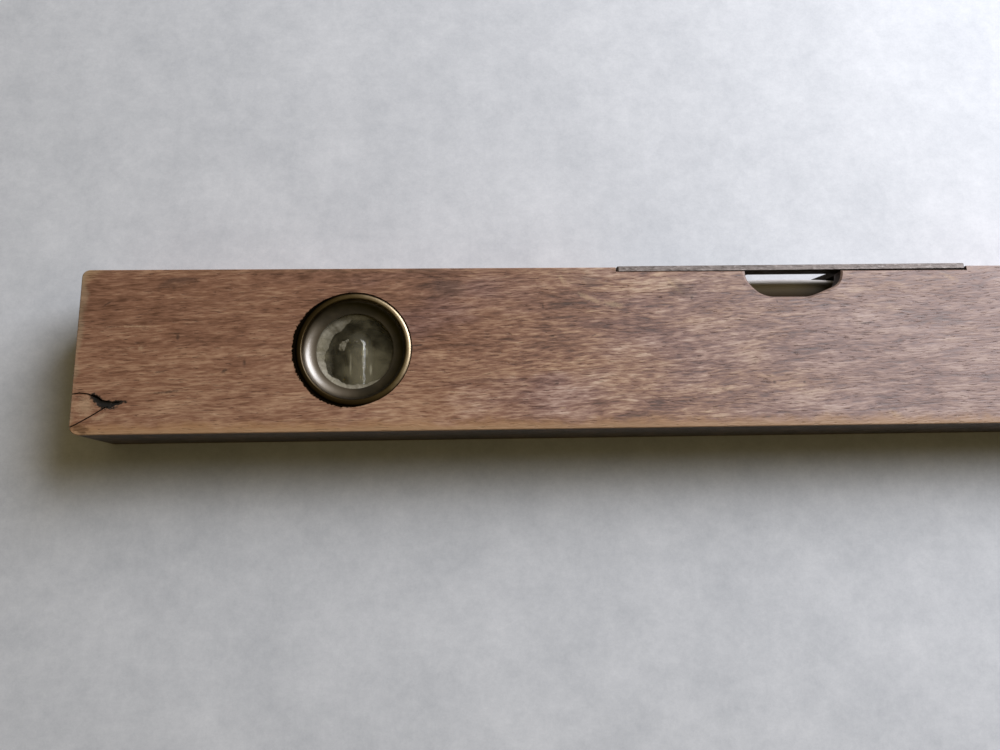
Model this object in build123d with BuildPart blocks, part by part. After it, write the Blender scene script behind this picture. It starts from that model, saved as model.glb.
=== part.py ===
"""A wooden spirit level with two glass vials, lying on its broad back face.

The stock is one length of hardwood. A bent vial lies in a mortise in the middle of the top edge, under a
brass plate with a sight slot, and shows through a scooped window in each face. A short plumb vial stands
in a round eye near the left end, between two glass discs held by dished brass cups.

Millimetres. X runs along the stock, +Y from the working edge to the top edge, +Z from the back face to the
front face. The origin is the middle of the back face, which the level lies on.
"""

import os
from math import asin, cos, degrees, radians, sin

from build123d import *

# Stock: heights up the face are measured from the working edge, places near the end from the left end.
length = 500.0
height = 57.6
thickness = 28.0
arris = 0.4
worn_top_corner = 2.6
worn_base_corner = 3.4
plain_corner = 1.2

# Brass plate let into the top edge, with its sight slot.
plate_length = 127.0
plate_side_gap = 0.1
plate_thickness = 1.9
plate_let_in = 1.5
plate_tilt = 0.27
plate_corner = 0.8
plate_end_gap = 0.5
recess_edge_wear = 0.45
plate_edge_break = 0.15
slot_left_end = -15.1
slot_right_end = 19.4
slot_width = 17.0
slot_corner = 0.6
slot_end_slant = 6.8

# Countersunk wood screws, two at each end of the plate.
screw_from_plate_end = 7.5
screw_from_plate_side = 6.0
screw_length = 12.0
screw_tip = 3.0
shank_radius = 1.4
head_radius = 2.7
head_rim = 0.15
driver_slot_width = 0.6
driver_slot_depth = 0.65
screw_hole_play = 0.15
pilot_beyond_tip = 0.8
driver_slot_turns = (12.0, 71.0, -34.0, 98.0)

# Bent vial and its mortise. The crown of the vial stands a little way into the sight slot.
vial_radius = 6.0
vial_wall = 1.1
vial_straight = 48.0
vial_bend_radius = 400.0
vial_crown_in_slot = 0.08
vial_forward = 1.2
drawn_tip_radius = 1.1
drawn_tip_length = 2.2
level_bubble_radius = 3.2
level_bubble_start = 16.5
level_bubble_end = 24.5
mortise_end_room = 1.4
mortise_corner = 3.0
bed_under_vial = 1.5
bed_above_axis = 3.4
bed_from_window = 0.9

# Window scooped through each face below the plate: places along from its middle, down from the top edge.
window_width = 35.2
window_depth = 11.2
window_left_scoop = (
    (-17.6, 0.0),
    (-17.5, 2.8),
    (-17.1, 4.5),
    (-16.2, 6.2),
    (-14.6, 8.1),
    (-12.7, 9.7),
    (-10.2, 10.8),
    (-7.5, 11.2),
)
window_right_scoop = (
    (3.8, 11.2),
    (5.8, 10.9),
    (8.7, 9.9),
    (11.9, 8.6),
    (14.9, 7.2),
    (16.5, 5.6),
    (17.4, 3.1),
    (17.6, 0.0),
)
window_edge_break = 0.5

# Round plumb eye.
eye_from_end = 93.8
eye_above_middle = 0.0
cup_outer_radius = 20.0
cup_rim_slope = 1.7
cup_crest_below_face = 0.1
cup_rim_depth = 1.0
cup_lip_curl = 0.5
cup_bowl_width = 4.35
cup_bowl_drop = 3.15
cup_wall = 0.7
cup_rim_play = 0.12
cup_body_play = 0.1
eye_glass_thickness = 1.8
eye_glass_play = 0.2
putty_thickness = 0.4
shoulder_ledge = 3.4
putty_squeeze_out = 1.0
putty_inside_chamber = 2.3
putty_hole_shift = (1.2, -0.5)

# Plumb vial, bedded at its lower end in a socket below the eye.
plumb_radius = 5.25
plumb_wall = 1.05
plumb_top_room = 5.6
plumb_straight = 18.6
plumb_bubble_radius = 2.75
plumb_bubble_top = 4.2
plumb_bubble_length = 17.0
bubble_film = 0.1
socket_play = 1.2
plumb_bed_under_vial = 0.8
plumb_bed_rise = 2.6
plumb_bed_spread = 2.4

# Shakes in the lower left corner: points are (from the left end, above the working edge).
upper_shake = ((-0.8, 13.7), (2.6, 14.3), (5.5, 13.9), (7.7, 13.0), (10.3, 11.7))
lower_shake = ((-0.8, 2.2), (1.0, 3.0), (3.4, 4.3), (7.0, 6.4), (10.6, 8.7), (12.0, 9.6))
torn_hollow = (
    (6.6, 13.9),
    (8.5, 13.4),
    (10.3, 11.9),
    (13.3, 11.3),
    (16.7, 11.3),
    (14.7, 9.9),
    (12.9, 8.7),
    (11.3, 9.5),
    (8.8, 9.9),
    (7.8, 11.9),
)
shake_width = 0.45
shake_depth = 5.0
torn_depth = 0.7

# Places worked out from the sizes above.
mid_z = thickness / 2
top_y = height / 2
base_y = -height / 2
left_x = -length / 2
recess_floor_y = top_y - plate_let_in
plate_under_y = recess_floor_y + plate_length / 2 * sin(radians(plate_tilt))
plate_width = thickness - 2 * plate_side_gap
vial_y = plate_under_y + vial_crown_in_slot - vial_radius
vial_reach = vial_straight / 2 + vial_radius
window_sill_y = top_y - window_depth
mortise_floor_y = vial_y - vial_radius - bed_under_vial
mortise_length = 2 * (vial_reach + drawn_tip_length + mortise_end_room)
mortise_width = slot_width
screw_spacing_x = plate_length - 2 * screw_from_plate_end
screw_spacing_z = plate_width - 2 * screw_from_plate_side
head_depth = head_rim + head_radius - shank_radius
eye_x = left_x + eye_from_end
eye_y = eye_above_middle
cup_crest_radius = cup_outer_radius - cup_rim_slope
cup_bowl_centre_depth = cup_crest_below_face + cup_lip_curl
cup_bowl_edge_radius = cup_crest_radius - cup_lip_curl
cup_opening_radius = cup_bowl_edge_radius - cup_bowl_width
cup_back_radius = cup_bowl_edge_radius + cup_wall
cup_back_width = cup_bowl_width + cup_wall
cup_back_drop = cup_bowl_drop + cup_wall
cup_under_rim_angle = degrees(asin((cup_rim_depth - cup_bowl_centre_depth) / cup_back_drop))
cup_under_rim_radius = cup_opening_radius + cup_back_width * cos(radians(cup_under_rim_angle))
cup_depth = cup_bowl_centre_depth + cup_back_drop
cup_bore_radius = cup_back_radius + cup_body_play
rim_bore_radius = cup_outer_radius + cup_rim_play
glass_back_depth = cup_depth + eye_glass_thickness
shoulder_depth = glass_back_depth + putty_thickness
eye_glass_radius = cup_bore_radius - eye_glass_play
chamber_radius = eye_glass_radius - shoulder_ledge
putty_hole_radius = chamber_radius - putty_inside_chamber
putty_depth = glass_back_depth + putty_squeeze_out
plumb_top_y = eye_y + chamber_radius - plumb_top_room
plumb_foot_y = plumb_top_y - plumb_straight - 2 * plumb_radius
socket_radius = plumb_radius + socket_play
socket_floor_y = plumb_foot_y - plumb_bed_under_vial
plumb_bed_top_y = eye_y - chamber_radius + plumb_bed_rise

eye_axis = Axis((eye_x, eye_y, 0), (0, 0, 1))
front_eye = Plane((eye_x, eye_y, thickness))
back_eye = Plane((eye_x, eye_y, 0), z_dir=(0, 0, -1))
eye_section = Plane((eye_x, eye_y, thickness), x_dir=(1, 0, 0), z_dir=(0, -1, 0))
recess_floor = Plane((0, recess_floor_y, mid_z), x_dir=(1, 0, 0), z_dir=(0, 1, 0))
plate_seat = Plane((0, plate_under_y, mid_z), x_dir=(1, 0, 0), z_dir=(0, 1, 0)).rotated((0, 0, plate_tilt))
plate_face = plate_seat.offset(plate_thickness)
mid_plane = Plane.XY.offset(mid_z)
vial_plane = mid_plane.offset(vial_forward)


def from_corner(points):
    """Points measured from the lower left corner of the face, as places in the model."""
    return [(left_x + along, base_y + up) for along, up in points]


def round_ended_bar(path, radius):
    """A round bar along path with a half ball at each end, for a vial, its bore or its bubble."""
    with BuildPart() as bar:
        with BuildSketch(Plane(path @ 0, z_dir=path % 0)):
            Circle(radius)
        sweep(path=path)
        with Locations(path @ 0, path @ 1):
            Sphere(radius)
    return bar.part


def vial_arc(start_x, end_x, lift=0.0):
    """The vial's bent centre line between two places along the stock, lift above it towards the front."""
    places = (start_x, (start_x + end_x) / 2, end_x)
    with BuildLine(vial_plane.offset(lift)) as arc:
        ThreePointArc([(x, vial_y - x**2 / (2 * vial_bend_radius)) for x in places])
    return arc.line


def plumb_line(start_y, end_y, lift=0.0):
    """The plumb vial's centre line between two heights, lift above it towards the front."""
    with BuildLine() as line:
        Line((eye_x, start_y, mid_z + lift), (eye_x, end_y, mid_z + lift))
    return line.line


# Vial outsides, bores and bubbles, shared by the glass, the spirit and the plaster.
level_centre_line = vial_arc(-vial_straight / 2, vial_straight / 2)
level_bubble_lift = vial_radius - vial_wall - level_bubble_radius - bubble_film
level_outside = round_ended_bar(level_centre_line, vial_radius)
level_bore = round_ended_bar(level_centre_line, vial_radius - vial_wall)
level_bubble = round_ended_bar(
    vial_arc(level_bubble_start, level_bubble_end, level_bubble_lift), level_bubble_radius
)
plumb_centre_line = plumb_line(plumb_foot_y + plumb_radius, plumb_top_y - plumb_radius)
plumb_bubble_lift = plumb_radius - plumb_wall - plumb_bubble_radius - bubble_film
plumb_bubble_low = plumb_bubble_top - plumb_bubble_length
plumb_outside = round_ended_bar(plumb_centre_line, plumb_radius)
plumb_bore = round_ended_bar(plumb_centre_line, plumb_radius - plumb_wall)
plumb_bubble_line = plumb_line(
    plumb_bubble_low + plumb_bubble_radius, plumb_bubble_top - plumb_bubble_radius, plumb_bubble_lift
)
plumb_bubble = round_ended_bar(plumb_bubble_line, plumb_bubble_radius)

# Stock, with its recess, mortise, windows, eye and shakes.
with BuildPart() as body:
    with BuildSketch() as face_outline:
        Rectangle(length, height)
        fillet(face_outline.vertices().group_by(Axis.X)[-1], plain_corner)
        fillet(face_outline.vertices().group_by(Axis.X)[0].sort_by(Axis.Y)[-1], worn_top_corner)
        fillet(face_outline.vertices().group_by(Axis.X)[0].sort_by(Axis.Y)[0], worn_base_corner)
    extrude(amount=thickness)
    fillet(body.edges().group_by(Axis.Z)[0] + body.edges().group_by(Axis.Z)[-1], arris)

    # Recess for the plate. The plate touches its floor at the left end and is lifted at the right.
    with BuildSketch(recess_floor):
        Rectangle(plate_length + 2 * plate_end_gap, thickness)
    extrude(amount=plate_let_in + arris, mode=Mode.SUBTRACT)

    # The recess floor is worn down along its front and back edges.
    recess_edges = body.edges().filter_by(Axis.X).filter_by_position(Axis.Y, recess_floor_y, recess_floor_y)
    chamfer(recess_edges, recess_edge_wear)

    # Mortise for the bent vial.
    with BuildSketch(recess_floor):
        RectangleRounded(mortise_length, mortise_width, mortise_corner)
    extrude(amount=mortise_floor_y - recess_floor_y, mode=Mode.SUBTRACT)

    # Window through both walls of the mortise: a short scoop on the left, a long one on the right.
    with BuildSketch() as window:
        with BuildLine():
            left_scoop = Spline([(along, top_y - down) for along, down in window_left_scoop])
            right_scoop = Spline([(along, top_y - down) for along, down in window_right_scoop])
            Line(left_scoop @ 1, right_scoop @ 0)
            above = Vector(0, arris)
            Polyline(right_scoop @ 1, right_scoop @ 1 + above, left_scoop @ 0 + above, left_scoop @ 0)
        make_face()
    extrude(amount=thickness, mode=Mode.SUBTRACT)
    window_edges = body.edges().filter_by(
        lambda edge: abs(edge.center().X) < window_width / 2 + arris
        and edge.center().Y < recess_floor_y - arris / 10
        and edge.center().Y > window_sill_y - arris / 10
        and abs(abs(edge.center().Z - mid_z) - mid_z) < arris / 10
    )
    chamfer(window_edges, window_edge_break)

    # Eye: a shallow seat for each rim, a bore for each cup and disc, and the chamber between the shoulders.
    with Locations(front_eye, back_eye):
        CounterBoreHole(cup_bore_radius, rim_bore_radius, cup_rim_depth, shoulder_depth)
    with Locations(front_eye):
        Hole(chamber_radius, thickness)
    with BuildSketch(Plane((eye_x, eye_y, mid_z), x_dir=(1, 0, 0), z_dir=(0, -1, 0))):
        Circle(socket_radius)
    extrude(amount=eye_y - socket_floor_y, mode=Mode.SUBTRACT)

    # Pilot holes under the plate.
    with Locations(plate_seat):
        with GridLocations(screw_spacing_x, screw_spacing_z, 2, 2):
            Hole(shank_radius, screw_length - plate_thickness + pilot_beyond_tip)

    # Shakes: two open cracks that meet in a torn hollow.
    for crack in (upper_shake, lower_shake):
        with BuildSketch(Plane.XY.offset(thickness)) as crack_outline:
            with BuildLine():
                Polyline(*from_corner(crack))
            trace(line_width=shake_width)
        extrude(amount=-shake_depth, mode=Mode.SUBTRACT)
    with BuildSketch(Plane.XY.offset(thickness)):
        with BuildLine():
            Polyline(*from_corner(torn_hollow), close=True)
        make_face()
    extrude(amount=-torn_depth, mode=Mode.SUBTRACT)

# Brass plate with its sight slot and countersunk holes.
with BuildPart() as top_plate:
    with BuildSketch(plate_seat):
        RectangleRounded(plate_length, plate_width, plate_corner)
        with BuildSketch(mode=Mode.PRIVATE) as slot:
            with BuildLine():
                Polyline(
                    (slot_left_end, -slot_width / 2),
                    (slot_right_end, -slot_width / 2),
                    (slot_right_end - slot_end_slant, slot_width / 2),
                    (slot_left_end, slot_width / 2),
                    close=True,
                )
            make_face()
            fillet(slot.vertices(), slot_corner)
        add(slot.sketch, mode=Mode.SUBTRACT)
    extrude(amount=plate_thickness)
    chamfer(top_plate.faces().filter_by(plate_face).sort_by(Axis.Y)[-1].edges(), plate_edge_break)
    with Locations(plate_face.offset(-head_rim)):
        with GridLocations(screw_spacing_x, screw_spacing_z, 2, 2):
            CounterSinkHole(shank_radius + screw_hole_play, head_radius, plate_thickness, 90)
    with BuildSketch(plate_face):
        with GridLocations(screw_spacing_x, screw_spacing_z, 2, 2):
            Circle(head_radius)
    extrude(amount=-head_rim, mode=Mode.SUBTRACT)

# One wood screw, its head at the origin and its tip below, then one at each hole.
with BuildPart() as screw:
    with BuildSketch(Plane.XZ):
        with BuildLine():
            Polyline(
                (0, 0),
                (head_radius, 0),
                (head_radius, -head_rim),
                (shank_radius, -head_depth),
                (shank_radius, -(screw_length - screw_tip)),
                (0, -screw_length),
                close=True,
            )
        make_face()
    revolve(axis=Axis.Z)
    with Locations((0, 0, -driver_slot_depth / 2)):
        Box(3 * head_radius, driver_slot_width, driver_slot_depth, mode=Mode.SUBTRACT)

screw_grid = GridLocations(screw_spacing_x, screw_spacing_z, 2, 2)
screw_places = [
    plate_face.location * place * Rotation(0, 0, turn)
    for place, turn in zip(screw_grid, driver_slot_turns, strict=True)
]
with BuildPart() as plate_screws:
    with Locations(*screw_places):
        add(screw.part)

# Bent vial: glass with a drawn tip at its right end, and the spirit with its bubble.
drawn_tip_reach = vial_radius + drawn_tip_length - drawn_tip_radius

with BuildPart() as level_vial:
    add(level_outside)
    with BuildSketch(Plane(level_centre_line @ 1, z_dir=level_centre_line % 1)):
        Circle(drawn_tip_radius)
    extrude(amount=drawn_tip_reach)
    with Locations(level_centre_line @ 1 + level_centre_line % 1 * drawn_tip_reach):
        Sphere(drawn_tip_radius)
    add(level_bore, mode=Mode.SUBTRACT)

with BuildPart() as level_vial_spirit:
    add(level_bore)
    add(level_bubble, mode=Mode.SUBTRACT)


def vial_bed(side):
    """Plaster round one end of the bent vial, left for side -1 and right for side 1."""
    bed_start = window_width / 2 + bed_from_window
    bed_length = mortise_length / 2 - bed_start
    with BuildPart() as bed:
        with BuildSketch(Plane((0, mortise_floor_y, mid_z), x_dir=(1, 0, 0), z_dir=(0, 1, 0))):
            RectangleRounded(mortise_length, mortise_width, mortise_corner)
            with Locations((side * (bed_start + bed_length / 2), 0)):
                Rectangle(bed_length, mortise_width, mode=Mode.INTERSECT)
        extrude(amount=vial_y + bed_above_axis - mortise_floor_y)
        add(level_vial.part, mode=Mode.SUBTRACT)
        add(level_bore, mode=Mode.SUBTRACT)
    return bed


level_vial_bed_left = vial_bed(-1)
level_vial_bed_right = vial_bed(1)

# Dished brass cup: a rounded rim, then a bowl down to the opening that clamps the disc.
with BuildPart() as front_eye_cup:
    with BuildSketch(eye_section):
        with BuildLine():
            Line((cup_under_rim_radius, -cup_rim_depth), (cup_outer_radius, -cup_rim_depth))
            EllipticalCenterArc(
                (cup_crest_radius, -cup_rim_depth),
                cup_outer_radius - cup_crest_radius,
                cup_rim_depth - cup_crest_below_face,
                arc_size=90,
            )
            CenterArc((cup_crest_radius, -cup_bowl_centre_depth), cup_lip_curl, 90, 90)
            bowl_centre = (cup_opening_radius, -cup_bowl_centre_depth)
            EllipticalCenterArc(bowl_centre, cup_bowl_width, cup_bowl_drop, start_angle=-90, arc_size=90)
            Line(
                (cup_opening_radius, -cup_bowl_centre_depth - cup_bowl_drop),
                (cup_opening_radius, -cup_depth),
            )
            EllipticalCenterArc(
                bowl_centre, cup_back_width, cup_back_drop, start_angle=-90, arc_size=90 - cup_under_rim_angle
            )
        make_face()
    revolve(axis=eye_axis)

with BuildPart() as back_eye_cup:
    mirror(front_eye_cup.part, about=mid_plane)

# Glass disc under the cup.
with BuildPart() as front_eye_glass:
    with BuildSketch(front_eye.offset(-cup_depth)):
        Circle(eye_glass_radius)
    extrude(amount=-eye_glass_thickness)

with BuildPart() as back_eye_glass:
    mirror(front_eye_glass.part, about=mid_plane)

# Putty between the disc and the shoulder, squeezed out further on the left than on the right.
with BuildPart() as front_eye_putty:
    with BuildSketch(front_eye.offset(-glass_back_depth)):
        Circle(eye_glass_radius)
        with Locations(putty_hole_shift):
            Circle(putty_hole_radius, mode=Mode.SUBTRACT)
    extrude(amount=-putty_thickness)
    with BuildSketch(front_eye.offset(-glass_back_depth)):
        Circle(chamber_radius)
        with Locations(putty_hole_shift):
            Circle(putty_hole_radius, mode=Mode.SUBTRACT)
    extrude(amount=-putty_squeeze_out)

with BuildPart() as back_eye_putty:
    mirror(front_eye_putty.part, about=mid_plane)

# Plumb vial: glass and spirit.
with BuildPart() as plumb_vial:
    add(plumb_outside)
    add(plumb_bore, mode=Mode.SUBTRACT)

with BuildPart() as plumb_vial_spirit:
    add(plumb_bore)
    add(plumb_bubble, mode=Mode.SUBTRACT)

# Plaster that fills the socket round the foot of the plumb vial and spreads into the chamber.
with BuildPart() as plumb_vial_bed:
    with BuildSketch(Plane((eye_x, socket_floor_y, mid_z), x_dir=(1, 0, 0), z_dir=(0, 1, 0))):
        Circle(socket_radius)
    extrude(amount=plumb_bed_top_y - socket_floor_y)
    with BuildSketch(Plane((eye_x, eye_y, mid_z))):
        with BuildLine():
            Polyline(
                (0, plumb_bed_top_y - eye_y),
                (socket_radius, plumb_bed_top_y - eye_y),
                (socket_radius + plumb_bed_spread, -chamber_radius),
                (0, -chamber_radius),
                close=True,
            )
        make_face()
    revolve(axis=Axis((eye_x, eye_y, mid_z), (0, 1, 0)))
    with BuildSketch(Plane((eye_x, eye_y, putty_depth))):
        Circle(chamber_radius)
    chamber_room = extrude(amount=thickness - 2 * putty_depth, mode=Mode.PRIVATE)
    with BuildSketch(Plane((eye_x, socket_floor_y, mid_z), x_dir=(1, 0, 0), z_dir=(0, 1, 0))):
        Circle(socket_radius)
    socket_room = extrude(amount=eye_y - socket_floor_y, mode=Mode.PRIVATE)
    add(chamber_room + socket_room, mode=Mode.INTERSECT)
    add([plumb_outside, front_eye_putty.part, back_eye_putty.part], mode=Mode.SUBTRACT)

# Write one file for each piece.
pieces = {
    "body": body,
    "top_plate": top_plate,
    "plate_screws": plate_screws,
    "level_vial": level_vial,
    "level_vial_spirit": level_vial_spirit,
    "level_vial_bed_left": level_vial_bed_left,
    "level_vial_bed_right": level_vial_bed_right,
    "front_eye_cup": front_eye_cup,
    "back_eye_cup": back_eye_cup,
    "front_eye_glass": front_eye_glass,
    "back_eye_glass": back_eye_glass,
    "front_eye_putty": front_eye_putty,
    "back_eye_putty": back_eye_putty,
    "plumb_vial": plumb_vial,
    "plumb_vial_spirit": plumb_vial_spirit,
    "plumb_vial_bed": plumb_vial_bed,
}
os.makedirs("parts", exist_ok=True)
for name, piece in pieces.items():
    piece.part.label = name
    export_step(piece.part, f"parts/{name}.step")
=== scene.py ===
# %% [markdown]
# # A worn wooden spirit level
#
# The real object is a 500 mm length of beech with a bent glass vial under a brass plate, and a small plumb
# vial in a round eye near its left end. The measured solids are already made, so this file loads them as a
# fixed frame and gives each one the surface it has after decades in a toolbox: dark handled wood, tarnished
# brass, clouded glass and crumbling putty.

import math

import bmesh
import bpy
from mathutils import Euler, Matrix, Vector, noise


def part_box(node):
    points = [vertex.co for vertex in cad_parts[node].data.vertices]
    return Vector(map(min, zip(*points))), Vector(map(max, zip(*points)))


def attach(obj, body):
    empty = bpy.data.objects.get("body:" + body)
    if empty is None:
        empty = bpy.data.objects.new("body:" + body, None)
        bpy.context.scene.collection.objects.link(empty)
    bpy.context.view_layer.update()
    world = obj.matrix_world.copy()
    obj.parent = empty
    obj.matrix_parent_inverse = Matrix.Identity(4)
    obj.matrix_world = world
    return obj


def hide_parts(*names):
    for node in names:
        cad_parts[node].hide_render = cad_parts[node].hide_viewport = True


MM = 0.001
TO_MM = 1000

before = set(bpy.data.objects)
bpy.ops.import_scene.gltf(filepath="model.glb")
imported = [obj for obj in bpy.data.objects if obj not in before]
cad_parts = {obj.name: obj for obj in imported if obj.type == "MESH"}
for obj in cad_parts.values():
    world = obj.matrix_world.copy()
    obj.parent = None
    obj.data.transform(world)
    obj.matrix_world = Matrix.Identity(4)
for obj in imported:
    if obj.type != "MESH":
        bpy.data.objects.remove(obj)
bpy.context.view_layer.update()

# %% [markdown]
# ## Sizes read from the solids
#
# Everything that is added later sits on the loaded solids, so its place is worked out from their boxes. The
# boxes are in metres, and so is the scene. A length that is easier to think of in millimetres is written with
# the small factor MM, and TO_MM turns metres into millimetres.


# %% Sizes
def middle_of(node):
    """The centre of a solid's box."""
    lo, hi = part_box(node)
    return (lo + hi) / 2


stock_lo, stock_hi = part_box("body")
face_height = stock_hi.z
eye_centre = middle_of("front_eye_cup")
cup_lo, cup_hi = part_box("front_eye_cup")
cup_radius = (cup_hi.x - cup_lo.x) / 2
print("eye at", [round(TO_MM * place, 1) for place in eye_centre], "mm, radius", round(TO_MM * cup_radius, 1))

# %% [markdown]
# ## The camera
#
# The photograph was taken by hand with a wide lens, from above the level's left half and a little past its
# working edge. Matching the stock's straight edges, the plate's ends and the eye gives one place and turn for
# the camera, and they are written here as they came out.

# %% Camera
CAMERA_PLACE = Vector((-0.1168, -0.06211, 0.29112))
CAMERA_TURN = Euler([math.radians(angle) for angle in (11.256, -2.154, -1.051)])
CAMERA_LENS = 28.08
CAMERA_SENSOR = 36
NEAREST_SEEN = 10 * MM

camera = bpy.data.objects.new("camera", bpy.data.cameras.new("camera"))
camera.location = CAMERA_PLACE
camera.rotation_euler = CAMERA_TURN
camera.data.lens = CAMERA_LENS
camera.data.sensor_width = CAMERA_SENSOR
camera.data.clip_start = NEAREST_SEEN
bpy.context.scene.collection.objects.link(camera)
bpy.context.scene.camera = camera
bpy.context.scene.view_settings.view_transform = "Standard"
print("camera stands", round(TO_MM * (CAMERA_PLACE.z - face_height)), "mm above the front face")

# %% [markdown]
# ## Writing shader maths as sums
#
# A finish is mostly arithmetic on masks: a fleck times its strength, one minus a stain. Linking Math nodes by
# hand hides that, so Wire wraps one socket and turns the ordinary operators into nodes, and Finish adds any
# other node. The rest of the file can then say what a surface does in one line.

# %% Wires
class Wire:
    """One output socket of a finish, on which Python's operators add Math nodes."""

    def __init__(self, finish, socket):
        self.finish, self.socket = finish, socket

    def maths(self, operation, *values):
        return self.finish.node("Math", {"operation": operation}, dict(enumerate(values))).value

    def __add__(self, other):
        return self.maths("ADD", self, other)

    def __sub__(self, other):
        return self.maths("SUBTRACT", self, other)

    def __rsub__(self, other):
        return self.maths("SUBTRACT", other, self)

    def __mul__(self, other):
        return self.maths("MULTIPLY", self, other)

    def __truediv__(self, other):
        return self.maths("DIVIDE", self, other)

    def __pow__(self, other):
        return self.maths("POWER", self, other)

    __radd__ = __add__
    __rmul__ = __mul__

    def size(self):
        return self.maths("ABSOLUTE", self)

    def at_most(self, other):
        return self.maths("MINIMUM", self, other)

    def at_least(self, other):
        return self.maths("MAXIMUM", self, other)

    def ramp(self, start, end, low=0.0, high=1.0):
        """A smooth change from low to high as the value goes from start to end."""
        inputs = {"Value": self, "From Min": start, "From Max": end, "To Min": low, "To Max": high}
        return self.finish.node("MapRange", {"interpolation_type": "SMOOTHSTEP"}, inputs)["Result"]


class Node:
    """A shader node whose outputs are wires."""

    def __init__(self, finish, node):
        self.finish, self.made = finish, node

    def __getitem__(self, name):
        return Wire(self.finish, self.made.outputs[name])

    @property
    def value(self):
        return self[0]


# %% Finishes
# A Mix node has sockets for every kind of data, and these are the ones it uses for colours.
MIX_FACTOR, MIX_BELOW, MIX_ABOVE, MIX_RESULT = 0, 6, 7, 2


class Finish:
    """A material built from nodes, with one Principled surface."""

    def __init__(self, name):
        self.material = bpy.data.materials.new(name)
        self.material.use_nodes = True
        self.tree = self.material.node_tree
        self.tree.nodes.clear()
        self.surface = self.node("BsdfPrincipled")
        self.output = self.node("OutputMaterial", inputs={"Surface": self.surface.value})
        self.place = self.node("TexCoord")["Object"]

    def node(self, kind, settings=None, inputs=None):
        """Adds a node: its settings first, then the values or wires of its sockets."""
        made = self.tree.nodes.new("ShaderNode" + kind)
        for name, value in (settings or {}).items():
            if name == "stops":
                while len(made.color_ramp.elements) < len(value):
                    made.color_ramp.elements.new(1)
                for element, (position, colour) in zip(made.color_ramp.elements, value):
                    element.position, element.color = position, (*colour, 1)
            else:
                setattr(made, name, value)
        for name, value in (inputs or {}).items():
            socket = made.inputs[name]
            if isinstance(value, Wire):
                self.tree.links.new(value.socket, socket)
            else:
                socket.default_value = value
        return Node(self, made)

    def set(self, **values):
        """Sets sockets of the surface, named in Python's way: base_color for Base Color."""
        for name, value in values.items():
            title = name.replace("_", " ").title().replace("Ior", "IOR")
            socket = self.surface.made.inputs[title]
            if isinstance(value, Wire):
                self.tree.links.new(value.socket, socket)
            else:
                socket.default_value = value

    def cover(self, factor, colour):
        """Covers the surface, where factor is 1, with a matt colour that has no shine at all."""
        matt = self.node("BsdfDiffuse", inputs={"Color": (*colour, 1)})
        mixed = self.node("MixShader", inputs={0: factor, 1: self.surface.value, 2: matt.value})
        self.tree.links.new(mixed.value.socket, self.output.made.inputs["Surface"])

    def stretched(self, scale, place=None, shift=(0, 0, 0)):
        """The place on the object, in noise cells of the given number per metre on each axis."""
        inputs = {"Vector": place or self.place, "Scale": scale, "Location": shift}
        return self.node("Mapping", {"vector_type": "POINT"}, inputs)["Vector"]

    def axes(self):
        """The place on the object as three numbers, in millimetres."""
        split = self.node("SeparateXYZ", inputs={"Vector": self.place})
        return [split[name] * TO_MM for name in "XYZ"]

    def clouds(self, scale, detail=3.0, roughness=0.55, place=None, shift=(0, 0, 0)):
        """Noise between 0 and 1, around a half, with cells of scale per metre."""
        scale = scale if isinstance(scale, tuple) else (scale,) * 3
        cells = self.stretched(scale, place, shift)
        inputs = {"Vector": cells, "Scale": 1, "Detail": detail, "Roughness": roughness}
        return self.node("TexNoise", {"noise_dimensions": "3D"}, inputs)[0]

    def blend(self, factor, below, above):
        """Colour above over colour below where factor is 1."""
        made = self.node("Mix", {"data_type": "RGBA", "blend_type": "MIX", "clamp_factor": True})
        for index, value in ((MIX_FACTOR, factor), (MIX_BELOW, below), (MIX_ABOVE, above)):
            socket = made.made.inputs[index]
            if isinstance(value, Wire):
                self.tree.links.new(value.socket, socket)
            else:
                socket.default_value = value if index == MIX_FACTOR else (*value, 1)
        return Wire(self, made.made.outputs[MIX_RESULT])

    def relief(self, height, depth, below=None):
        """The surface normal over a relief whose height runs from 0 to 1, depth metres deep."""
        inputs = {"Height": height, "Distance": depth, "Strength": 1}
        if below is not None:
            inputs["Normal"] = below
        return self.node("Bump", inputs=inputs)["Normal"]

    def ring_distance(self, centre):
        """Distance in millimetres from a line through centre along Z."""
        foot = (centre.x, centre.y, 0)
        arm = self.node("VectorMath", {"operation": "SUBTRACT"}, {0: self.place, 1: foot})["Vector"]
        flat = self.node("VectorMath", {"operation": "MULTIPLY"}, {0: arm, 1: (1, 1, 0)})["Vector"]
        return self.node("VectorMath", {"operation": "LENGTH"}, {0: flat})["Value"] * TO_MM


def srgb(red, green, blue):
    """A colour written as 8-bit screen values, turned to the linear values that the shader mixes."""
    return tuple(
        part / 12.92 if part <= 0.04045 else ((part + 0.055) / 1.055) ** 2.4
        for part in (red / 255, green / 255, blue / 255)
    )


def dress(node, finish):
    """Gives a loaded solid its finish."""
    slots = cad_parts[node].data.materials
    slots.clear()
    slots.append(finish.material)


# %% [markdown]
# ## Light
#
# The level's long soft shadow tells where the light was: a wide window low to the upper right, and next to
# nothing from anywhere else. So one large panel stands for the window. The room is a dark brown world that
# brightens towards the window, because brass and glass show whatever stands round them. The floor is pale and
# slightly smeared.

# %% Window
WINDOW_BEARING = math.radians(40.5)
WINDOW_HEIGHT = math.radians(36)
WINDOW_DISTANCE = 1.3
WINDOW_SIDE = 0.96
WINDOW_POWER = 25.8
WINDOW_COLOUR = (0.935, 0.975, 1.075)

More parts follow.
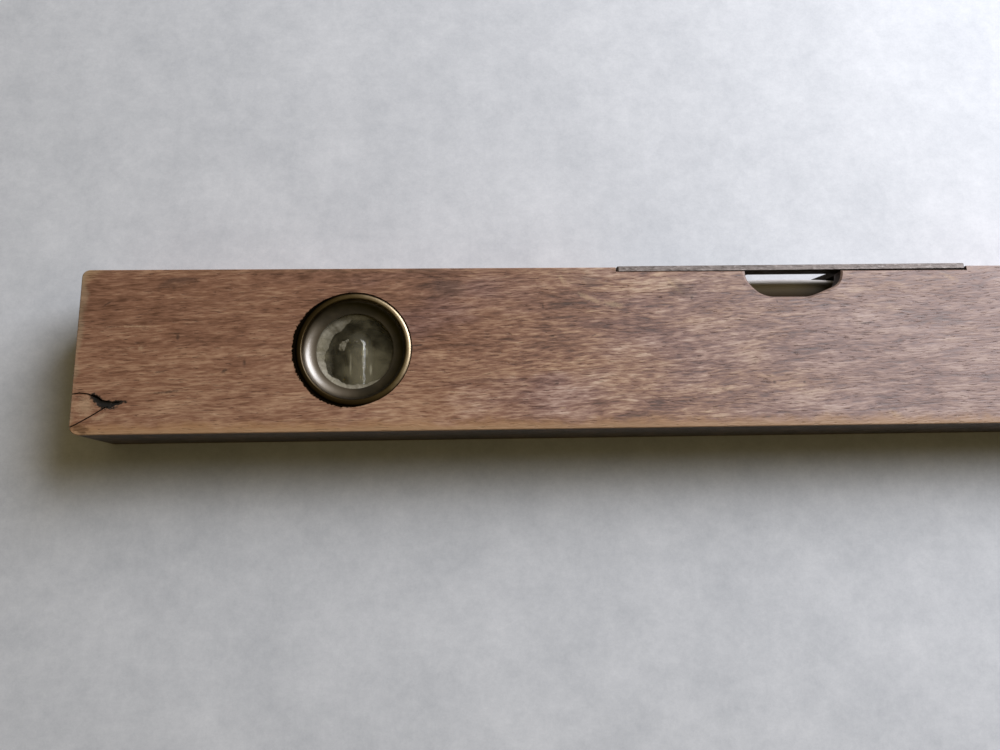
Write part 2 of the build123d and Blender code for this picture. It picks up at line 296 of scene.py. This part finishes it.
window_way = Vector(
    (
        math.cos(WINDOW_HEIGHT) * math.cos(WINDOW_BEARING),
        math.cos(WINDOW_HEIGHT) * math.sin(WINDOW_BEARING),
        math.sin(WINDOW_HEIGHT),
    )
)
window_light = bpy.data.lights.new("window", "AREA")
window_light.shape = "SQUARE"
window_light.size = WINDOW_SIDE
window_light.energy = WINDOW_POWER
window_light.color = WINDOW_COLOUR
window_panel = bpy.data.objects.new("window", window_light)
window_panel.location = window_way * WINDOW_DISTANCE
window_panel.rotation_euler = (-window_way).to_track_quat("-Z", "Y").to_euler()
bpy.context.scene.collection.objects.link(window_panel)

# %% Room
ROOM_DARK_SIDE = (0.04, 0.03, 0.005, 1)
ROOM_WINDOW_SIDE = (0.25, 0.205, 0.12, 1)
ROOM_DARK_UNTIL = -0.2

room = bpy.data.worlds.new("room")
room.use_nodes = True
room_tree = room.node_tree
room_way = room_tree.nodes.new("ShaderNodeTexCoord")
facing = room_tree.nodes.new("ShaderNodeVectorMath")
facing.operation = "DOT_PRODUCT"
facing.inputs[1].default_value = window_way
shade = room_tree.nodes.new("ShaderNodeMapRange")
shade.inputs["From Min"].default_value = ROOM_DARK_UNTIL
shade.inputs["From Max"].default_value = 1.0
tint = room_tree.nodes.new("ShaderNodeMix")
tint.data_type = "RGBA"
tint.inputs[MIX_BELOW].default_value = ROOM_DARK_SIDE
tint.inputs[MIX_ABOVE].default_value = ROOM_WINDOW_SIDE
room_tree.links.new(room_way.outputs["Generated"], facing.inputs[0])
room_tree.links.new(facing.outputs["Value"], shade.inputs["Value"])
room_tree.links.new(shade.outputs["Result"], tint.inputs["Factor"])
room_tree.links.new(tint.outputs[MIX_RESULT], room_tree.nodes["Background"].inputs["Color"])
bpy.context.scene.world = room

# %% Floor
FLOOR_HALF = 2.0
FLOOR_SMEARED = srgb(166, 170, 176)
FLOOR_CLEAN = srgb(253, 253, 255)

floor_shape = bmesh.new()
bmesh.ops.create_grid(floor_shape, x_segments=1, y_segments=1, size=FLOOR_HALF)
floor_mesh = bpy.data.meshes.new("floor")
floor_shape.to_mesh(floor_mesh)
floor_shape.free()
floor = bpy.data.objects.new("floor", floor_mesh)
bpy.context.scene.collection.objects.link(floor)
paper = Finish("pale_floor")
smears = paper.clouds(25, detail=8, roughness=0.9)
paper.set(base_color=paper.blend(smears, FLOOR_SMEARED, FLOOR_CLEAN), roughness=0.5)
floor_mesh.materials.append(paper.material)

# %% [markdown]
# ## Beech
#
# Old beech has no bold rings. What the eye reads as beech is the felt of short fibres, a few millimetres
# long and half of one wide, light and dark, in tan and pinkish patches as large as a hand's touch. The fibres
# climb a little towards the right and sway. A pattern sways when its place is moved by slow noise before it
# is read, and the same swayed place serves every layer, so the layers run together as they do in wood.

# %% Beech: grain
GRAIN_CLIMB = math.radians(2.5)
SWAY = 5 * MM

beech = Finish("beech")
along, up, out = beech.axes()
sway = beech.clouds((17, 60, 60), detail=2)
lift = beech.node("CombineXYZ", inputs={"Y": (sway - 0.5) * SWAY})["Vector"]
swayed = beech.node("VectorMath", {"operation": "ADD"}, {0: beech.place, 1: lift})["Vector"]
grain = beech.node("Mapping", inputs={"Vector": swayed, "Rotation": (0, 0, -GRAIN_CLIMB)})["Vector"]

patches = beech.clouds((14, 40, 40), detail=3, roughness=0.7, place=grain)
mottle = beech.clouds((50, 130, 130), detail=3, roughness=0.7, place=grain, shift=(5, 1, 2))
streaks = beech.clouds((60, 480, 480), detail=3, roughness=0.7, place=grain)
fibres = beech.clouds((240, 1400, 1400), detail=3, roughness=0.55, place=grain)
pores = beech.clouds((260, 2400, 2400), detail=2, roughness=0.5, place=grain, shift=(3, 7, 1))
blush = beech.clouds((20, 55, 55), detail=3, roughness=0.6, place=grain, shift=(9, 4, 6))

# %% [markdown]
# ### Colour of the grain
#
# The layers add up to one tone, which is read off a row of tans and a row of mauves. The tone is flattest at
# the left end and liveliest under the plate. It also rises and falls slowly over the face, as handled wood
# does. Towards the right the wood turns from tan to mauve, and then paler and greyer: that last blend is a
# painted sheen, the window's glare on the wood.

# %% Beech: colour of the grain
MEAN_TONE = 0.502
PATCHY, MOTTLED, STREAKY, FIBROUS = 0.42, 0.48, 0.84, 0.82
GLARE_GREY = srgb(166, 145, 140)
PORE = srgb(60, 40, 30)
TAN = (
    (0.1, srgb(60, 41, 28)),
    (0.3, srgb(102, 68, 49)),
    (0.5, srgb(142, 101, 77)),
    (0.7, srgb(178, 139, 109)),
    (0.9, srgb(212, 180, 146)),
)
MAUVE = (
    (0.1, srgb(58, 40, 33)),
    (0.3, srgb(100, 68, 57)),
    (0.5, srgb(136, 99, 85)),
    (0.7, srgb(174, 139, 122)),
    (0.9, srgb(208, 178, 160)),
)

tone = (patches - 0.5) * PATCHY + (mottle - 0.5) * MOTTLED
tone = tone + (streaks - 0.5) * STREAKY + (fibres - 0.5) * FIBROUS
tone = tone * along.ramp(-190, 20, 0.66, 1.6) * along.ramp(50, 120, 1.0, 0.75) + MEAN_TONE
tone = tone + up.ramp(15, -20, -0.035, 0.06) * along.ramp(-60, -140) + up.ramp(-5, -20) * 0.02
tone = tone + up.ramp(5, 20) * along.ramp(-110, -80) * along.ramp(-20, -50) * 0.03
tone = tone + along.ramp(-120, -25) * 0.105 - along.ramp(0, 40) * 0.012 - along.ramp(-240, -150) * 0.02
tan = beech.node("ValToRGB", {"stops": TAN}, {"Fac": tone})["Color"]
mauve = beech.node("ValToRGB", {"stops": MAUVE}, {"Fac": tone})["Color"]
wood = beech.blend((blush + along * 0.0015).ramp(0.3, 0.55), tan, mauve)
# Painted sheen: towards the right, the window's side, the wood is blended half way to a pale grey.
wood = beech.blend(along.ramp(-130, 70) * 0.5, wood, GLARE_GREY)
wood = beech.blend(pores.ramp(0.62, 0.76) * 0.5, wood, PORE)

# %% [markdown]
# ### Handling, soil and painted light
#
# Hands and benches treat the parts of a level differently. The long edges and the upper corner of the left
# end are rubbed pale, and so is a margin along the base. A pale band along the left end's arris is a painted
# highlight. The working edge is dark with grime and painted darker still as shade, and the insides of the
# cuts are painted near black as shade. Those places are given by their distance to the edges, in
# millimetres, made uneven with noise.

# %% Beech: wear, soil and painted light
HALF_HEIGHT = TO_MM * (stock_hi.y - stock_lo.y) / 2
THICKNESS = TO_MM * (stock_hi.z - stock_lo.z)
HALF_LENGTH = TO_MM * (stock_hi.x - stock_lo.x) / 2

uneven = beech.clouds((120, 160, 160), detail=4, roughness=0.65)
torn = beech.clouds(1300, detail=3, roughness=0.6, shift=(1, 8, 5))
blotches = beech.clouds((28, 60, 60), detail=5, roughness=0.7, shift=(2, 5, 8))
above_base = up + HALF_HEIGHT
from_left = along + HALF_LENGTH
to_long_side = HALF_HEIGHT - up.size()
to_broad_face = THICKNESS / 2 - (out - THICKNESS / 2).size()
to_end = HALF_LENGTH - along.size()
to_arris = (to_long_side**2 + to_broad_face**2) ** 0.5
rubbed = (to_arris - uneven * 3).ramp(0.6, -0.8)
# A pale band along the left end's arris: a painted highlight.
end_arris_highlight = (from_left + to_broad_face - uneven * 6 + above_base.ramp(36, 12) * 1.4).ramp(-0.2, -2.4)
base_margin = (above_base - uneven * 8).ramp(1.0, -3.0)
left_corner = (from_left + HALF_HEIGHT - up - uneven * 12).ramp(4.0, -4.0)
below_face = (to_broad_face - 0.25).ramp(0, 0.6)
# The working edge: grime, and painted shade, since it faces away from the light.
working_edge_grime_and_shade = above_base.ramp(0.35, 0.0) * below_face
end_grain = to_end.ramp(0.3, 0.05) * below_face
inner = to_long_side.ramp(0.4, 0.8) * to_end.ramp(0.4, 0.8)
# The insides of the cuts: painted shade, near black.
shaded_recess = below_face * inner
small_arris = to_broad_face.ramp(0.02, 0.15) * inner

WEAR_SOIL_AND_PAINTED_LIGHT = (
    (blotches.ramp(0.56, 0.8) * 0.2, srgb(96, 66, 54)),
    (base_margin * 0.6, srgb(176, 134, 92)),
    (left_corner * 0.5, srgb(164, 138, 100)),
    (rubbed * up.ramp(0, -20, 0.12, 0.45), srgb(170, 138, 104)),
    # painted highlight on the left end's arris
    (end_arris_highlight * 0.38, srgb(168, 150, 120)),
    (end_grain * 0.55, srgb(116, 92, 66)),
    # the working edge's grime and painted shade
    (working_edge_grime_and_shade * uneven.ramp(0.2, 0.6, 0.75, 0.97), srgb(48, 38, 29)),
    # painted shade inside the cuts
    (shaded_recess * 0.95, srgb(27, 20, 14)),
    (small_arris * 0.5, srgb(108, 88, 78)),
)

for place, colour in WEAR_SOIL_AND_PAINTED_LIGHT:
    wood = beech.blend(place, wood, colour)

# %% [markdown]
# ### Dents and stains
#
# The front face has its own history: dark dents, smudges near the top edge, a dirty line beside the eye, pale
# flecks where a plane tore the grain, a brown stain on the lowest corner, and a grey-black tear where two
# shakes meet. Each is an oval at a measured place, in millimetres, turned as on the real face. A mark's
# reach is the distance from its middle, counted in its own half sizes, so it is 1 on the oval's edge. The
# least reach serves a whole list of marks at once, and fine noise added to it tears their edges. The pale
# streaks on the eye's disc are made in the same way further on.


# %% Beech: marks
MARK_DEPTH = 2.5 * MM


def least_reach(finish, marks, tears, height=face_height):
    """The reach of the nearest mark, for marks that lie at the given height.

    Each mark is a centre, half sizes, a turn in degrees and how faint it is.
    """
    nearest = None
    for centre, half_sizes, turn, faint in marks:
        inputs = {
            "Vector": finish.place,
            "Location": (centre[0] * MM, centre[1] * MM, height),
            "Rotation": (0, 0, math.radians(turn)),
            "Scale": (half_sizes[0] * MM, half_sizes[1] * MM, MARK_DEPTH),
        }
        counted = finish.node("Mapping", {"vector_type": "TEXTURE"}, inputs)["Vector"]
        reach = finish.node("VectorMath", {"operation": "LENGTH"}, {0: counted})["Value"] + faint
        nearest = reach if nearest is None else nearest.at_most(reach)
    return nearest + (tears - 0.5) * 2


DENTS = (
    ((-240.5, 16.6), (1.6, 0.35), 35, 0.1),
    ((-216.0, 4.6), (0.8, 1.0), 10, 0.1),
    ((-216.6, 5.8), (2.6, 0.4), -3, 0.3),
    ((-193.1, -4.6), (0.8, 1.4), 0, 0.3),
    ((-199.6, -7.4), (1.3, 0.6), 25, 0.0),
    ((-218.5, -14.5), (6.0, 0.5), 5, 0.2),
    ((-221.4, -7.6), (1.8, 0.4), 8, 0.2),
    ((-134.4, 0.8), (2.6, 0.3), 3, 0.0),
    ((-136.2, -0.5), (0.35, 1.1), -10, 0.0),
    ((-138.6, -6.4), (0.5, 0.4), 0, 0.0),
    ((-86.5, -13.1), (0.9, 0.35), 15, 0.0),
    ((-87.5, 3.8), (1.9, 0.5), 2, 0.3),
    ((-73.0, 3.9), (1.5, 0.35), 20, 0.3),
    ((-90.4, 14.6), (0.3, 1.0), 0, 0.2),
    ((-37.4, 17.3), (0.6, 0.8), 0, 0.2),
    ((-6.8, 15.8), (0.4, 0.9), 10, 0.2),
    ((24.5, 7.6), (2.9, 0.35), 4, 0.1),
    ((-10.3, -13.4), (0.6, 0.5), 0, 0.1),
    ((0.4, -13.4), (0.6, 0.5), 0, 0.1),
    ((-10.8, -19.7), (1.4, 0.35), 5, 0.3),
)
PALE_FLECKS = (
    ((-83.5, 24.6), (3.6, 0.9), -62, 0.2),
    ((-73.5, 17.2), (4.8, 0.9), -22, 0.0),
    ((-66.0, 15.3), (3.2, 1.3), -8, 0.0),
    ((-44.0, 22.4), (4.6, 0.8), -50, 0.2),
    ((57.6, 24.2), (5.6, 1.0), -30, 0.2),
    ((-84.7, -21.6), (1.5, 0.35), 6, 0.0),
    ((-228.3, 0.8), (1.5, 1.3), 20, 0.3),
    ((31.0, -25.0), (3.5, 1.4), -30, 0.2),
    ((-245.6, -18.8), (3.4, 4.2), -15, 0.2),
    ((-240.0, -22.8), (3.2, 1.3), 25, 0.3),
    ((-230.0, 8.4), (16.0, 0.6), 0, 0.5),
)
SMUDGES = (
    ((-219.4, 24.4), (2.6, 1.0), 22, 0.0),
    ((-214.6, 25.0), (4.4, 1.7), 10, 0.0),
    ((-123.5, 21.5), (5.5, 3.0), -20, 0.1),
    ((-75.0, 24.4), (6.0, 2.6), -10, 0.5),
    ((-40.0, 20.0), (5.5, 2.8), -30, 0.4),
)
TEAR = (
    ((-241.6, -16.6), (2.6, 1.2), -38, 0.0),
    ((-238.6, -18.4), (3.4, 1.6), -12, 0.0),
    ((-234.6, -18.0), (2.6, 0.8), 8, 0.0),
)
WORN_CORNER = (((-246.3, -26.6), (3.6, 1.5), -20, 0.0),)

tear = least_reach(beech, TEAR, torn).ramp(1.25, 0.7)
MARKS = (
    (least_reach(beech, DENTS, torn).ramp(1.5, 0.3) * 0.68, srgb(54, 38, 29)),
    (least_reach(beech, PALE_FLECKS, uneven + torn - 0.5).ramp(1.4, 0.2) * 0.5, srgb(200, 168, 134)),
    (least_reach(beech, SMUDGES, uneven * 2 + streaks - 1).ramp(1.7, 0.2) * 0.5, srgb(76, 56, 47)),
    (tear * 0.92, srgb(40, 41, 38)),
    (least_reach(beech, WORN_CORNER, torn).ramp(1.3, 0.5) * 0.6, srgb(84, 54, 26)),
)

for place, colour in MARKS:
    wood = beech.blend(place, wood, colour)

# %% [markdown]
# ### Round the eye
#
# The cup doesn't quite fill its hole. The gap and the wood's edge beside it are painted black as shadow,
# widest towards the lower left, away from the window. A dark finish with a shine would look grey there, so a
# matt one covers it. The fibres and the pores have a relief of about a tenth of a millimetre, and the sway
# has a deeper and slower one.

# %% Beech: painted shadow round the eye, and relief
# The painted shadow round the cup is widest towards this angle, away from the window.
GAP_SHADOW_TOWARDS = math.radians(200)
GAP_BLACK = srgb(14, 9, 4)
SWAY_RELIEF = 0.6 * MM
FIBRE_RELIEF = 0.12 * MM
PORE_RELIEF = 0.12 * MM

from_eye = beech.ring_distance(eye_centre)
to_left = (eye_centre.x * TO_MM - along) * -math.cos(GAP_SHADOW_TOWARDS)
to_base = (eye_centre.y * TO_MM - up) * -math.sin(GAP_SHADOW_TOWARDS)
gap_shadow_side = ((to_left + to_base) / from_eye).ramp(-0.35, 0.9, -0.6, 1.9)
# Painted shadow: a black band round the cup, made uneven with noise.
gap_shadow = (from_eye - TO_MM * cup_radius - 0.1 - gap_shadow_side * torn).ramp(0.15, -0.15)

gloss = blotches.ramp(0.3, 0.7, 0.42, 0.52) + fibres.ramp(0.4, 0.7, 0.0, 0.12) + shaded_recess * 0.3
relief = beech.relief(sway, SWAY_RELIEF)
relief = beech.relief(fibres + streaks * 0.8, FIBRE_RELIEF, relief)
relief = beech.relief(1 - pores.ramp(0.6, 0.74), PORE_RELIEF, relief)
beech.set(base_color=wood, roughness=gloss, normal=relief)
beech.cover(gap_shadow.at_least(tear * 0.5), GAP_BLACK)
dress("body", beech)
print("beech uses", len(beech.tree.nodes), "nodes")

# %% [markdown]
# ## Brass
#
# Brass left alone for decades goes brown-grey, and stays yellow only where it is rubbed. The plate is the
# dullest, with paler smears along its edge, and it is painted nearly black, as shade, on the sides that the
# wood and the slot hide.
# The screws keep a browner tone. A cup's bowl is dark under a coat that still shines, and painted paler on
# its lower left, where the window's reflection falls in it: a painted highlight. Its lip is painted lit and
# shaded: darker round the far side, lighter towards the window, and cream on its outer edge at the upper
# right, a painted highlight. The crest of the lip is found by its distance to the middle of the eye.

# %% Plate
PLATE_RELIEF = 0.15 * MM

plate_brass = Finish("plate_brass")
tarnish = plate_brass.clouds((180, 500, 500), detail=5, roughness=0.65)
scuffs = plate_brass.clouds((420, 900, 900), detail=4, roughness=0.65)
metal = plate_brass.blend(tarnish.ramp(0.35, 0.65), srgb(92, 82, 76), srgb(142, 131, 125))
metal = plate_brass.blend(scuffs.ramp(0.5, 0.75) * 0.5, metal, srgb(190, 180, 174))
_, up, out = plate_brass.axes()
plate_top = TO_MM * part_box("top_plate")[1].y
# The underside and the slot's walls are painted nearly black: painted shade.
hidden_shaded_side = (plate_top - up).ramp(0.15, 0.3) * (THICKNESS - out).ramp(0.2, 0.5) * out.ramp(0.2, 0.5)
metal = plate_brass.blend(hidden_shaded_side * 0.9, metal, srgb(34, 28, 22))
plate_brass.set(
    base_color=metal,
    metallic=0.4,
    roughness=tarnish.ramp(0.3, 0.7, 0.42, 0.66) + hidden_shaded_side * 0.3,
    normal=plate_brass.relief(scuffs + tarnish, PLATE_RELIEF),
)
dress("top_plate", plate_brass)

# %% Screws
screw_brass = Finish("screw_brass")
grime = screw_brass.clouds(900, detail=4, roughness=0.65)
screw_brass.set(
    base_color=screw_brass.blend(grime.ramp(0.35, 0.7), srgb(104, 84, 54), srgb(52, 42, 30)),
    metallic=0.8,
    roughness=grime.ramp(0.3, 0.7, 0.38, 0.6),
)
dress("plate_screws", screw_brass)

# %% Cups
CREST_INSIDE_RIM = 2.3
LIT_TOWARDS = math.radians(28)
PIT_RELIEF = 0.02 * MM
CUP_RIM = TO_MM * cup_radius
CUP_CREST = CUP_RIM - CREST_INSIDE_RIM

cup_brass = Finish("cup_brass")
tarnish = cup_brass.clouds(160, detail=4, roughness=0.6)
pits = cup_brass.clouds(1500, detail=3, roughness=0.6)
from_axis = cup_brass.ring_distance(eye_centre)
along, up, _ = cup_brass.axes()
# LIT_TOWARDS is the side that faces the window, where light is painted on the cup.
right = (along - TO_MM * eye_centre.x) * math.cos(LIT_TOWARDS)
above = (up - TO_MM * eye_centre.y) * math.sin(LIT_TOWARDS)
towards_lit_side = (right + above) / from_axis
lit_side = (towards_lit_side + (tarnish - 0.5) * 0.6).ramp(0.1, 0.98)
rim = from_axis.ramp(CUP_CREST - 0.5, CUP_CREST)
edge = from_axis.ramp(CUP_RIM - 1.5, CUP_RIM - 0.5, 0.35, 1.0)
# Painted highlight: the bowl's lower left, where the window's reflection falls, is painted paler.
bowl_glow_side = (towards_lit_side * -1).ramp(0.1, 0.95) * (1 - rim)
metal = cup_brass.blend(tarnish.ramp(0.35, 0.65), srgb(40, 31, 19), srgb(70, 60, 46))
metal = cup_brass.blend(bowl_glow_side, metal, srgb(112, 101, 86))
# Painted light and shade on the lip: darker round the far side, lighter towards the window, cream highlight
# on the outer edge.
metal = cup_brass.blend(rim, metal, srgb(70, 55, 28))
metal = cup_brass.blend(rim * towards_lit_side.ramp(-0.5, 0.5), metal, srgb(104, 88, 52))
metal = cup_brass.blend(rim * lit_side * edge, metal, srgb(198, 176, 143))
cup_brass.set(
    base_color=metal,
    metallic=1.0,
    roughness=tarnish.ramp(0.3, 0.7, 0.34, 0.42) + rim * 0.04 + bowl_glow_side * 0.12,
    coat_weight=1.0 - rim * 0.8,
    coat_roughness=0.3,
    coat_ior=1.85,
    normal=cup_brass.relief(pits, PIT_RELIEF),
)
for node in ("front_eye_cup", "back_eye_cup"):
    dress(node, cup_brass)

# %% [markdown]
# ## Glass and spirit
#
# The plumb vial bends light, so it is true glass, slightly milky. The level vial is so clouded that little
# passes through it, and its colour carries painted light and shade: a pale band at its top is painted light
# from the plate's slot above, and below it the spirit's olive is painted darker and browner as shade; it also
# darkens towards its right end. The spirit in both is grown by a hair, so that it reaches into the glass: two
# surfaces in the same place would flicker.
#
# The flat discs of the eye bend nothing that can be seen. They are dusty and bear pale streaks, two of which
# are painted glints of the window's light. A thin cloudy film that lets light through is closer to them than
# clear glass, which would keep the window's light out of the eye.


# %% Vials
SPIRIT_REACH = 0.03 * MM
WELD = 0.001 * MM
GLASS_IOR = 1.5
SPIRIT_IOR = 1.36


def grown(node, name, by):
    """A smooth copy of a loaded solid whose skin is moved outwards, which stands for that solid."""
    shape = bmesh.new()
    shape.from_mesh(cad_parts[node].data)
    bmesh.ops.remove_doubles(shape, verts=shape.verts, dist=WELD)
    shape.normal_update()
    for vert in shape.verts:
        vert.co += vert.normal * by
    for face in shape.faces:
        face.smooth = True
    mesh = bpy.data.meshes.new(name)
    shape.to_mesh(mesh)
    shape.free()
    piece = bpy.data.objects.new(name, mesh)
    bpy.context.scene.collection.objects.link(piece)
    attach(piece, "root")
    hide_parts(node)
    return piece


glass = Finish("glass")
glass.set(
    base_color=(0.84, 0.78, 0.58, 1),
    roughness=0.1,
    transmission_weight=0.9,
    ior=GLASS_IOR,
    specular_ior_level=0.05,
)
clouded = Finish("clouded_glass")
along, up, _ = clouded.axes()
below_top = TO_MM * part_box("level_vial")[1].y - up
# Painted light and shade: pale at the top, where light from the slot falls, then olive, then brown lower down
# as painted shade, and darker towards the right end.
film_and_painted_light = clouded.blend(below_top.ramp(2.0, 3.4), srgb(230, 223, 218), srgb(124, 108, 74))
film_and_painted_light = clouded.blend(below_top.ramp(2.6, 8.0), film_and_painted_light, srgb(70, 56, 38))
film_and_painted_light = clouded.blend(along.ramp(0, 15) * below_top.ramp(1.9, 2.8) * 0.7, film_and_painted_light, srgb(40, 32, 24))
clouded.set(base_color=film_and_painted_light, roughness=0.6, transmission_weight=0.15, ior=GLASS_IOR, specular_ior_level=0.1)
spirit = Finish("spirit")
spirit.set(base_color=(0.5, 0.45, 0.26, 1), roughness=0.0, transmission_weight=1.0, ior=SPIRIT_IOR)
dark = Finish("dark_spirit")
dark.set(base_color=(0.22, 0.19, 0.11, 1), roughness=0.3, transmission_weight=1.0, ior=SPIRIT_IOR)
for node, shell, filling in (("plumb_vial", glass, spirit), ("level_vial", clouded, dark)):
    dress(node, shell)
    liquid = grown(node + "_spirit", node + "_liquid", SPIRIT_REACH)
    liquid.data.materials.append(filling.material)

# %% Dusty discs
# Pale streaks on the disc: the first two are painted glints of the window's light, the third a faint long
# streak.
STREAKS_AND_GLINTS = (
    ((-152.3, -0.1), (0.3, 1.6), 0, 0.0),
    ((-150.8, -6.5), (0.35, 2.0), 0, 0.0),
    ((-157.8, -4.5), (0.4, 5.0), 0, 0.4),
)

dusty = Finish("dusty_disc")
dust = dusty.clouds(260, detail=5, roughness=0.65)
veil = dusty.clouds(90, detail=4, roughness=0.6, shift=(4, 2, 0))
disc_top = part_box("front_eye_glass")[1].z
streaks_and_glints = least_reach(dusty, STREAKS_AND_GLINTS, dust, disc_top).ramp(1.5, 0.5)
dusty.set(
    base_color=dusty.blend(streaks_and_glints, (0.32, 0.28, 0.17), (0.5, 0.46, 0.32)),
    roughness=dust.ramp(0.35, 0.7, 0.08, 0.3),
    alpha=dust.ramp(0.35, 0.75, 0.02, 0.1) + veil.ramp(0.4, 0.62, 0.0, 0.16) + streaks_and_glints * 0.24,
    specular_ior_level=0.8,
)
for node in ("front_eye_glass", "back_eye_glass"):
    dress(node, dusty)

# %% [markdown]
# ## Plaster and putty
#
# The vials are bedded in plaster, and the discs in putty. The putty was pressed out past the shoulder when
# the discs went in, further at the upper left, and its lip has dried, gone dirty and crumbled. A spun profile
# gives the washer and the lip, and then the lip's points move along their radius: slow leans for the pressing
# and noise for the crumbling. A few crumbs of it cling to the glass.

# %% Plaster
BED_RELIEF = 0.3 * MM

plaster = Finish("plaster")
crumbs = plaster.clouds(900, detail=5, roughness=0.7)
plaster.set(
    base_color=plaster.blend(crumbs, srgb(150, 142, 124), srgb(204, 198, 182)),
    roughness=0.9,
    normal=plaster.relief(crumbs, BED_RELIEF),
)
for node in ("level_vial_bed_left", "level_vial_bed_right", "plumb_vial_bed"):
    dress(node, plaster)

# %% Putty: finish
putty = Finish("putty")
lumps = putty.clouds(700, detail=5, roughness=0.7)
_, up, _ = putty.axes()
# Darker towards the lip's inner edge, which is dirt, and darker over the ring's upper part: painted shade.
soiled_and_shaded = (putty.ring_distance(eye_centre) + lumps * 3).ramp(15.5, 12.0) * 0.75
soiled_and_shaded = soiled_and_shaded.at_least((up + lumps * 4).ramp(5, 14) * 0.6)
fresh = putty.blend(lumps, srgb(140, 131, 112), srgb(184, 176, 158))
putty.set(
    base_color=putty.blend(soiled_and_shaded, fresh, srgb(84, 78, 58)),
    roughness=0.75,
    normal=putty.relief(lumps, BED_RELIEF),
)

# %% Putty: rings
glass_lo, glass_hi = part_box("front_eye_glass")
DISC_RADIUS = (glass_hi.x - glass_lo.x) / 2
WASHER = 0.4 * MM
SHOULDER_RADIUS = DISC_RADIUS - 3.4 * MM
LIP_RADIUS = 12.4 * MM
LIP_DEPTH = 1.0 * MM
LIP_WOBBLE = 0.12 * MM
RING_STEPS = 220

# Towards an angle in degrees, the lip reaches in by some millimetres: the power says how narrow the lean is.
PRESSED = ((146, 2.6, 2), (262, 1.0, 3), (15, -1.0, 1))
# Waves round the lip, and how many millimetres they move it.
CRUMBLED = ((3, 0.6), (9, 0.5))


def lip_reach(angle, seed):
    """How far the putty's lip is pressed in or broken back at an angle, in metres."""
    reach = 0
    for towards, much, power in PRESSED:
        reach += much * max(0, math.cos(angle - math.radians(towards))) ** power
    around = Vector((math.cos(angle), math.sin(angle), seed))
    reach += sum(much * noise.noise(around * waves) for waves, much in CRUMBLED)
    return reach * MM


def putty_ring(node, name, glass_face, way, seed):
    """The putty behind one disc.

    The disc's inner side is at the height glass_face, and way points from it into the eye.
    """
    profile = (
        (DISC_RADIUS, 0.0),
        (DISC_RADIUS, WASHER),
        (SHOULDER_RADIUS, WASHER),
        (SHOULDER_RADIUS, LIP_DEPTH),
        (LIP_RADIUS + 0.5 * MM, LIP_DEPTH * 0.9),
        (LIP_RADIUS, LIP_DEPTH * 0.5),
        (LIP_RADIUS + 0.2 * MM, 0.0),
    )
    shape = bmesh.new()
    places = [(eye_centre.x + reach, eye_centre.y, glass_face + way * depth) for reach, depth in profile]
    corners = [shape.verts.new(place) for place in places]
    edges = [shape.edges.new((corners[i], corners[(i + 1) % len(corners)])) for i in range(len(corners))]
    bmesh.ops.spin(
        shape,
        geom=corners + edges,
        cent=(eye_centre.x, eye_centre.y, 0),
        axis=(0, 0, 1),
        angle=2 * math.pi,
        steps=RING_STEPS,
        use_merge=True,
    )
    bmesh.ops.remove_doubles(shape, verts=shape.verts, dist=WELD)
    for vert in shape.verts:
        arm = Vector((vert.co.x - eye_centre.x, vert.co.y - eye_centre.y, 0))
        if arm.length < SHOULDER_RADIUS - 0.5 * MM:
            vert.co -= arm.normalized() * lip_reach(math.atan2(arm.y, arm.x), seed)
            vert.co.z += way * LIP_WOBBLE * noise.noise(vert.co * 900)
    bmesh.ops.recalc_face_normals(shape, faces=shape.faces)
    for face in shape.faces:
        face.smooth = True
    mesh = bpy.data.meshes.new(name)
    shape.to_mesh(mesh)
    shape.free()
    mesh.materials.append(putty.material)
    piece = bpy.data.objects.new(name, mesh)
    bpy.context.scene.collection.objects.link(piece)
    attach(piece, "root")
    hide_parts(node)
    return piece


back_glass_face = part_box("back_eye_glass")[1].z
front_putty = putty_ring("front_eye_putty", "front_putty_ring", glass_lo.z, -1, 3.0)
putty_ring("back_eye_putty", "back_putty_ring", back_glass_face, 1, 11.0)
print("putty rings of", len(front_putty.data.polygons), "faces each")

# %% Putty: crumbs on the disc
LUMPINESS = 0.5
LUMPS_PER_RADIUS = 1.6
CRUMB_DEPTH = 0.7
CRUMBS = (
    ((-160.9, 2.3), (1.2, 1.6, 0.5), -20),
    ((-159.6, 4.1), (0.9, 0.45, 0.35), 40),
    ((-156.3, 3.8), (0.7, 0.3, 0.3), 20),
)

crumb_shape = bmesh.new()
for index, (centre, half_sizes, turn) in enumerate(CRUMBS):
    lump = bmesh.ops.create_icosphere(crumb_shape, subdivisions=4, radius=MM)["verts"]
    for vert in lump:
        vert.co *= 1 + LUMPINESS * noise.noise(vert.co / MM * LUMPS_PER_RADIUS + Vector((index * 9, 0, 0)))
    bmesh.ops.scale(crumb_shape, vec=half_sizes, verts=lump)
    bmesh.ops.rotate(crumb_shape, matrix=Matrix.Rotation(math.radians(turn), 3, "Z"), verts=lump)
    drop = glass_lo.z - half_sizes[2] * CRUMB_DEPTH * MM
    bmesh.ops.translate(crumb_shape, vec=(centre[0] * MM, centre[1] * MM, drop), verts=lump)
for face in crumb_shape.faces:
    face.smooth = True
crumb_mesh = bpy.data.meshes.new("putty_crumbs")
crumb_shape.to_mesh(crumb_mesh)
crumb_shape.free()
crumb_mesh.materials.append(putty.material)
putty_crumbs = bpy.data.objects.new("putty_crumbs", crumb_mesh)
bpy.context.scene.collection.objects.link(putty_crumbs)
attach(putty_crumbs, "root")
print("crumbs on the disc:", len(CRUMBS))
